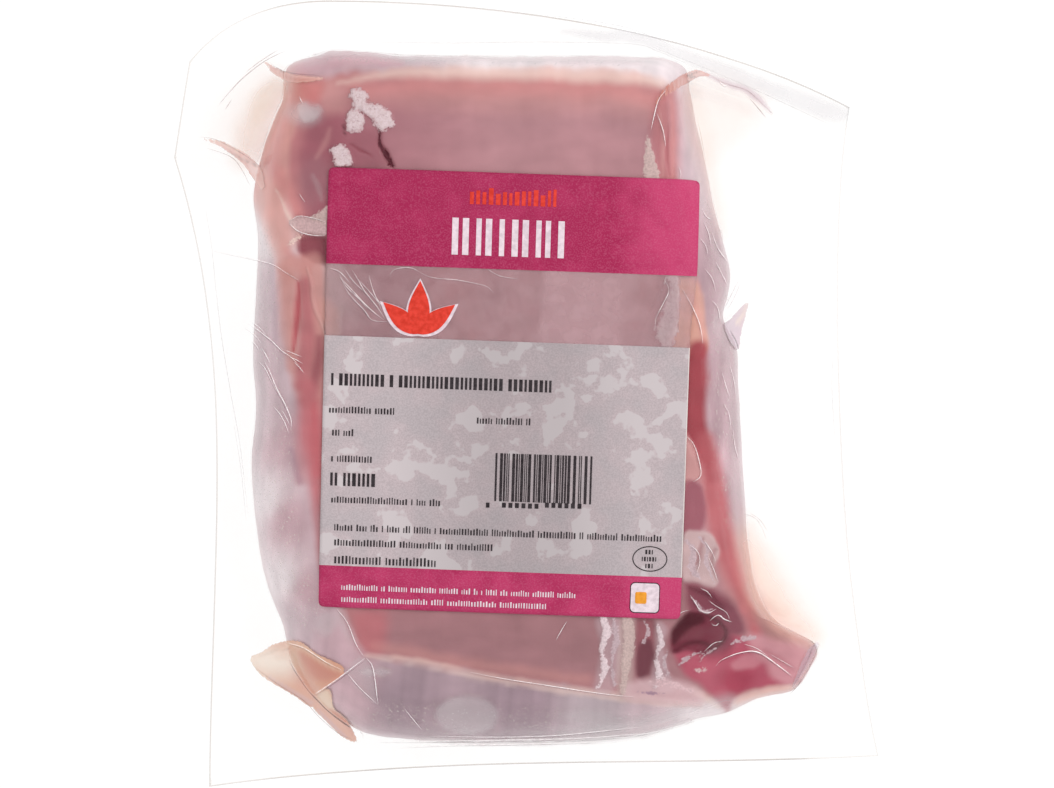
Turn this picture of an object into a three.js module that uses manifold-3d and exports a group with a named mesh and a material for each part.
// A piece of pork loin in a clear vacuum pouch, and the adhesive label on its top face. The pouch
// lies with the label up: the loin's flat underside is on the table, and the sealed border of the
// film runs all round it a little above the table.
//
// Millimetres, +Z up. The origin is the middle of the pouch's bounding box, on the table. +Y runs
// along the loin, towards the header of the label.
import * as THREE from "three";
import { mergeVertices } from "three/addons/utils/BufferGeometryUtils.js";
import Module from "manifold-3d";

// ---------------------------------------------------------------- driving dimensions

const HALF_WIDTH = 98.5; // of the pouch, film edge to film edge
const HALF_LENGTH = 110;
const FILM_THICKNESS = 0.8; // both films of the border, thicker than the real 0.2 so as to be solid

const BORDER_LEVEL = 9; // height of the border where it leaves the loin
const BORDER_DROOP = 4; // how much lower its free edge hangs
const BORDER_WAVE = 2; // how far the free edge rises and falls
const BORDER_REACH = 26; // the border hangs and waves fully this far from the loin

const LOIN_HEIGHT = 46;
const CROWN_DROP = 2.6; // the top face is this much lower at its sides than along its middle
const TOE_DROP = 5; // the top face is this much lower at its front end
const LOOSE_MUSCLE_DROP = 15; // and this much lower on the loose muscle at its front right corner
const SHOULDER_RUN = { left: 19, right: 16, back: 12, front: 23 }; // plan width of the sides
const SHOULDER_BEND = 2.3; // exponents of the rounded profile of the sides
const SHOULDER_FALL = 1.75;
const BASE_ROUNDING = 10; // plan width of the rounded edge between the underside and the border

const LABEL_WIDTH = 101.6;
const LABEL_LENGTH = 120;
const LABEL_CENTRE = [-5.5, 0.2];
const LABEL_TURN = THREE.MathUtils.degToRad(-2);
const LABEL_CORNER = 2;
const LABEL_GAP = 0.3;
const LABEL_THICKNESS = 0.35;

// Film that is gathered at the loin's corners stands off it in folds. A fold runs from its root on
// the loin's shoulder out to its tip on the border, rises to the given height above the border at
// its root, spreads that far to each side, and sags between root and tip by the exponent.
const FOLDS = [
  { root: [-54, 82], tip: [-76, 94], rise: 33, spread: 12, sag: 1 }, // back left
  { root: [-63, 58], tip: [-93, 71], rise: 33, spread: 12, sag: 1 },
  { root: [-56, 74], tip: [-86, 86], rise: 34, spread: 17, sag: 1.8 },
  { root: [40, 84], tip: [71, 80], rise: 33, spread: 12, sag: 1 }, // back right
  { root: [42, 74], tip: [64, 72], rise: 32, spread: 15, sag: 1.8 },
  { root: [52, -46], tip: [80, -60], rise: 28, spread: 14, sag: 1.4 }, // front right
  { root: [60, -66], tip: [87, -70], rise: 27, spread: 11, sag: 1.1 },
  { root: [-50, -66], tip: [-82, -75], rise: 33, spread: 12, sag: 1 }, // front left
  { root: [-44, -76], tip: [-50, -101], rise: 31, spread: 10, sag: 1 },
  { root: [-48, -70], tip: [-70, -90], rise: 32, spread: 15, sag: 1.6 },
  { root: [52, 17], tip: [67, 32], rise: 24, spread: 7, sag: 1.1 }, // spike on the right side
];
const FOLD_TAPER = 0.5; // share of its spread that a fold loses from root to tip
const FOLD_BLEND = 5; // height over which the folds and the loin merge into one film

// ---------------------------------------------------------------- outlines in plan

const LEFT_SHOULDER = [-HALF_WIDTH, 66];
const BACK_LEFT = [-94, 92.5];
const BACK_CROWN = [-55, HALF_LENGTH];
const BACK_RIGHT = [90, 80];
const FRONT_RIGHT = [HALF_WIDTH, -101.5];
const FRONT_LEFT = [-89, -HALF_LENGTH];
const POUCH_CORNERS = [LEFT_SHOULDER, BACK_LEFT, BACK_CROWN, BACK_RIGHT, FRONT_RIGHT, FRONT_LEFT];

// The cut edge of the film: straight cuts that the gathered film has pulled into bows.
function pouchOutline() {
  const path = new THREE.Path();
  path.moveTo(...LEFT_SHOULDER);
  path.lineTo(...BACK_LEFT);
  path.quadraticCurveTo(-80, 110, ...BACK_CROWN);
  path.bezierCurveTo(-10, 110, 45, 103, ...BACK_RIGHT);
  path.bezierCurveTo(84, 40, 87, -50, ...FRONT_RIGHT);
  path.bezierCurveTo(40, -104.5, -20, -100, ...FRONT_LEFT);
  path.bezierCurveTo(-89, -48, -80, 6, ...LEFT_SHOULDER);
  return path;
}

// Where the loin's sides meet the sealed border.
function loinOutline() {
  const path = new THREE.Path();
  path.moveTo(-75, 30);
  path.quadraticCurveTo(-76, 93, -50, 95.5);
  path.lineTo(30, 93.8);
  path.quadraticCurveTo(48, 93, 51, 72);
  path.quadraticCurveTo(54, 44, 60, 18);
  path.lineTo(61, -35);
  path.quadraticCurveTo(63, -56, 78, -65);
  path.quadraticCurveTo(83, -82, 55, -89);
  path.quadraticCurveTo(30, -97.5, -22, -97.2);
  path.quadraticCurveTo(-58, -96, -70, -68);
  path.quadraticCurveTo(-76.5, -40, -77, -8);
  path.closePath();
  return path;
}

// An outline seen from the origin, which lies inside it.
class Outline {
  static DIVISIONS = 24;

  constructor(path) {
    this.points = path.getPoints(Outline.DIVISIONS);
    this.points.push(this.points[0].clone());
  }

  // Distance from the origin to the outline in the direction of an angle.
  radius(angle) {
    const ray = new THREE.Vector2(Math.cos(angle), Math.sin(angle));
    let radius = 0;
    for (let i = 1; i < this.points.length; i++) {
      const a = this.points[i - 1];
      const edge = this.points[i].clone().sub(a);
      const turn = ray.cross(edge);
      if (Math.abs(turn) < 1e-12) continue;
      const share = a.cross(ray) / turn;
      if (share < -1e-9 || share > 1 + 1e-9) continue;
      radius = Math.max(radius, a.cross(edge) / turn);
    }
    return radius;
  }

  // Distance from a point to the outline, positive inside it.
  inset(x, y) {
    const point = new THREE.Vector2(x, y);
    let nearest = Infinity;
    for (let i = 1; i < this.points.length; i++) {
      nearest = Math.min(nearest, distanceToSegment(point, this.points[i - 1], this.points[i]).distance);
    }
    return point.length() < this.radius(point.angle()) ? nearest : -nearest;
  }
}

// Distance from a point to the segment from a to b, and how far along it the nearest spot lies.
function distanceToSegment(point, a, b) {
  const along = b.clone().sub(a);
  const offset = point.clone().sub(a);
  const share = THREE.MathUtils.clamp(offset.dot(along) / Math.max(along.lengthSq(), 1e-9), 0, 1);
  return { distance: offset.addScaledVector(along, -share).length(), share };
}

const pouch = new Outline(pouchOutline());
const loin = new Outline(loinOutline());

// ---------------------------------------------------------------- heights above the table

// 0 where the value is at `from`, 1 where it is at `to`, in either order.
function fade(from, to, value) {
  const share = THREE.MathUtils.clamp((value - from) / (to - from), 0, 1);
  return share * share * (3 - 2 * share);
}

// A hump of height 1 at (cx, cy) that fades out over the given reaches.
function hump(x, y, cx, cy, reachX, reachY) {
  return Math.exp(-(((x - cx) / reachX) ** 2) - ((y - cy) / reachY) ** 2);
}

function smoothMax(a, b, blend) {
  const overlap = Math.max(blend - Math.abs(a - b), 0);
  return Math.max(a, b) + overlap ** 2 / (4 * blend);
}

// The loin's top face: crowned, and lower at its front end and on the loose muscle there.
function topFace(x, y) {
  const crown = CROWN_DROP * (((x + 6) / 56) ** 2 + 0.4 * (y / 90) ** 2);
  const toe = TOE_DROP * fade(-50, -92, y);
  const looseMuscle = LOOSE_MUSCLE_DROP * fade(42, 68, x - 0.25 * (y + 60)) * fade(-46, -68, y);
  const backLeftHollow = 3 * hump(x, y, -62, 72, 16, 22);
  return LOIN_HEIGHT - crown - toe - looseMuscle - backLeftHollow;
}

// Plan width of the loin's sides, which differs from side to side.
function shoulderRun(x, y) {
  const reach = Math.hypot(x / 60, y / 90) || 1;
  const sideways = (x / 60 / reach) ** 2;
  const sideRun = x < 0 ? SHOULDER_RUN.left : SHOULDER_RUN.right;
  const endRun = y > 0 ? SHOULDER_RUN.back : SHOULDER_RUN.front;
  return THREE.MathUtils.lerp(endRun, sideRun, sideways);
}

// Middle of the sealed border, which hangs and waves more the further it is from the loin.
function borderLevel(x, y, inset) {
  const free = fade(0, BORDER_REACH, -inset);
  const angle = Math.atan2(y, x);
  const wave = Math.sin(3 * angle + 0.6) + 0.4 * Math.sin(7 * angle + 2);
  const curledCorner = 7 * hump(x, y, -88, 92, 26, 24);
  const bentStrip = 6 * hump(x, y, 78, 90, 44, 16);
  return BORDER_LEVEL + free * (BORDER_WAVE * wave - BORDER_DROOP + curledCorner + bentStrip);
}

function foldHeight({ root, tip, rise, spread, sag }, x, y) {
  const point = new THREE.Vector2(x, y);
  const { distance, share } = distanceToSegment(point, new THREE.Vector2(...root), new THREE.Vector2(...tip));
  const width = spread * (1 - FOLD_TAPER * share);
  return rise * (1 - share) ** sag * Math.exp(-((distance / width) ** 2));
}

function filmTop(x, y) {
  const inset = loin.inset(x, y);
  const border = borderLevel(x, y, inset) + FILM_THICKNESS / 2;
  const down = THREE.MathUtils.clamp(1 - inset / shoulderRun(x, y), 0, 1);
  const side = (1 - down ** SHOULDER_BEND) ** (1 / SHOULDER_FALL);
  const overLoin = (topFace(x, y) - border) * side;
  const overFolds = Math.max(...FOLDS.map((fold) => foldHeight(fold, x, y)));
  const blend = Math.min(FOLD_BLEND, overFolds);
  return border + (blend > 0 ? smoothMax(overLoin, overFolds, blend) : overLoin);
}

function filmUnder(x, y) {
  const inset = loin.inset(x, y);
  const border = borderLevel(x, y, inset) - FILM_THICKNESS / 2;
  const turn = THREE.MathUtils.clamp(1 - inset / BASE_ROUNDING, 0, 1);
  return border * (1 - Math.sqrt(1 - turn ** 2));
}

// ---------------------------------------------------------------- the pouch and the loin in it

const SPOKES = 112;
const FACE_RINGS = 5;
const SIDE_RINGS = 8;
const BORDER_RINGS = 7;
const UNDER_RINGS = 4;
const UNDER_BORDER_RINGS = 3;

// Directions of the mesh's spokes: evenly spaced, but moved onto each corner and tip of a fold.
function spokeAngles() {
  const step = (2 * Math.PI) / SPOKES;
  const angles = Array.from({ length: SPOKES }, (_, i) => (i + 0.5) * step);
  for (const [x, y] of [...FOLDS.map((fold) => fold.tip), ...POUCH_CORNERS]) {
    const angle = new THREE.Vector2(x, y).angle();
    angles[Math.floor(angle / step)] = angle;
  }
  return angles;
}

// Radii from `inner` to `outer`, both included, closer together towards the outer one.
function crowdedRadii(inner, outer, count, crowding) {
  return Array.from({ length: count + 1 }, (_, i) => {
    const share = 1 - (1 - i / count) ** crowding;
    return THREE.MathUtils.lerp(inner, outer, share);
  });
}

function upperRadii(angle) {
  const foot = loin.radius(angle);
  const shoulder = foot - 1.2 * shoulderRun(Math.cos(angle) * foot, Math.sin(angle) * foot);
  return [
    ...crowdedRadii(shoulder / FACE_RINGS, shoulder, FACE_RINGS - 1, 1),
    ...crowdedRadii(shoulder, foot, SIDE_RINGS, 1.5).slice(1),
    ...crowdedRadii(foot, pouch.radius(angle), BORDER_RINGS, 1).slice(1),
  ];
}

function lowerRadii(angle) {
  const foot = loin.radius(angle);
  return [
    ...crowdedRadii(foot - 1.5 * BASE_ROUNDING, foot, UNDER_RINGS, 1.6),
    ...crowdedRadii(foot, pouch.radius(angle), UNDER_BORDER_RINGS, 1).slice(1),
  ];
}

// A closed mesh of a fan of rings above, a fan of rings below, and the thin edge between them.
function packGeometry() {
  const angles = spokeAngles();
  const vertices = [];
  const faces = [];
  const addFan = (radiiOf, heightOf, upwards) => {
    const centre = vertices.push([0, 0, heightOf(0, 0)]) - 1;
    const addVertex = (angle, radius) => {
      const x = radius * Math.cos(angle);
      const y = radius * Math.sin(angle);
      return vertices.push([x, y, heightOf(x, y)]) - 1;
    };
    const addFace = (a, b, c) => faces.push(upwards ? [a, b, c] : [a, c, b]);
    const spokes = angles.map((angle) => radiiOf(angle).map((radius) => addVertex(angle, radius)));
    spokes.forEach((spoke, i) => {
      const next = spokes[(i + 1) % spokes.length];
      addFace(centre, spoke[0], next[0]);
      for (let k = 1; k < spoke.length; k++) {
        addFace(spoke[k - 1], spoke[k], next[k]);
        addFace(spoke[k - 1], next[k], next[k - 1]);
      }
    });
    return spokes.map((spoke) => spoke.at(-1));
  };
  const upper = addFan(upperRadii, filmTop, true);
  const lower = addFan(lowerRadii, filmUnder, false);
  upper.forEach((_, i) => {
    const j = (i + 1) % upper.length;
    faces.push([upper[i], lower[i], lower[j]], [upper[i], lower[j], upper[j]]);
  });
  const geometry = new THREE.BufferGeometry();
  geometry.setAttribute("position", new THREE.Float32BufferAttribute(vertices.flat(), 3));
  geometry.setIndex(faces.flat());
  geometry.computeVertexNormals();
  return geometry;
}

// ---------------------------------------------------------------- the label

const wasm = await Module();
wasm.setup();

function solidFrom(geometry) {
  const bare = geometry.clone();
  bare.deleteAttribute("normal");
  bare.deleteAttribute("uv");
  const merged = mergeVertices(bare, 1e-4);
  return new wasm.Manifold(
    new wasm.Mesh({
      numProp: 3,
      vertProperties: merged.attributes.position.array,
      triVerts: new Uint32Array(merged.index.array),
    }),
  );
}

function geometryFrom(solid) {
  const mesh = solid.getMesh();
  const geometry = new THREE.BufferGeometry();
  geometry.setAttribute("position", new THREE.Float32BufferAttribute(mesh.vertProperties, 3));
  geometry.setIndex(new THREE.BufferAttribute(mesh.triVerts, 1));
  geometry.computeVertexNormals();
  return geometry;
}

function roundedRectangle(width, length, corner) {
  const x = width / 2 - corner;
  const y = length / 2 - corner;
  const shape = new THREE.Shape();
  shape.absarc(x, y, corner, 0, 0.5 * Math.PI);
  shape.absarc(-x, y, corner, 0.5 * Math.PI, Math.PI);
  shape.absarc(-x, -y, corner, Math.PI, 1.5 * Math.PI);
  shape.absarc(x, -y, corner, 1.5 * Math.PI, 2 * Math.PI);
  return shape;
}

// The sheet that lies on the film: the space between the pack raised by the gap and the pack
// raised by the thickness too, cut to the label's outline.
function labelGeometry(packed) {
  const outline = roundedRectangle(LABEL_WIDTH, LABEL_LENGTH, LABEL_CORNER);
  const column = new THREE.ExtrudeGeometry(outline, {
    depth: 2 * LOIN_HEIGHT,
    bevelEnabled: false,
    curveSegments: 3,
  });
  column.rotateZ(LABEL_TURN);
  column.translate(...LABEL_CENTRE, LOIN_HEIGHT / 2);
  const raised = (by) => solidFrom(packed.clone().translate(0, 0, by));
  const sheet = raised(LABEL_GAP + LABEL_THICKNESS).subtract(raised(LABEL_GAP));
  return geometryFrom(sheet.intersect(solidFrom(column)));
}

// ---------------------------------------------------------------- the scene graph

const packed = packGeometry();

const pack = new THREE.Mesh(
  packed,
  new THREE.MeshStandardMaterial({ color: 0xb5868a, roughness: 0.25, metalness: 0 }),
);
pack.name = "vacuum_pack";

const label = new THREE.Mesh(
  labelGeometry(packed),
  new THREE.MeshStandardMaterial({ color: 0xc4b7b8, roughness: 0.45, metalness: 0 }),
);
label.name = "label";

const packedLoin = new THREE.Group();
packedLoin.add(pack, label);

export default packedLoin;
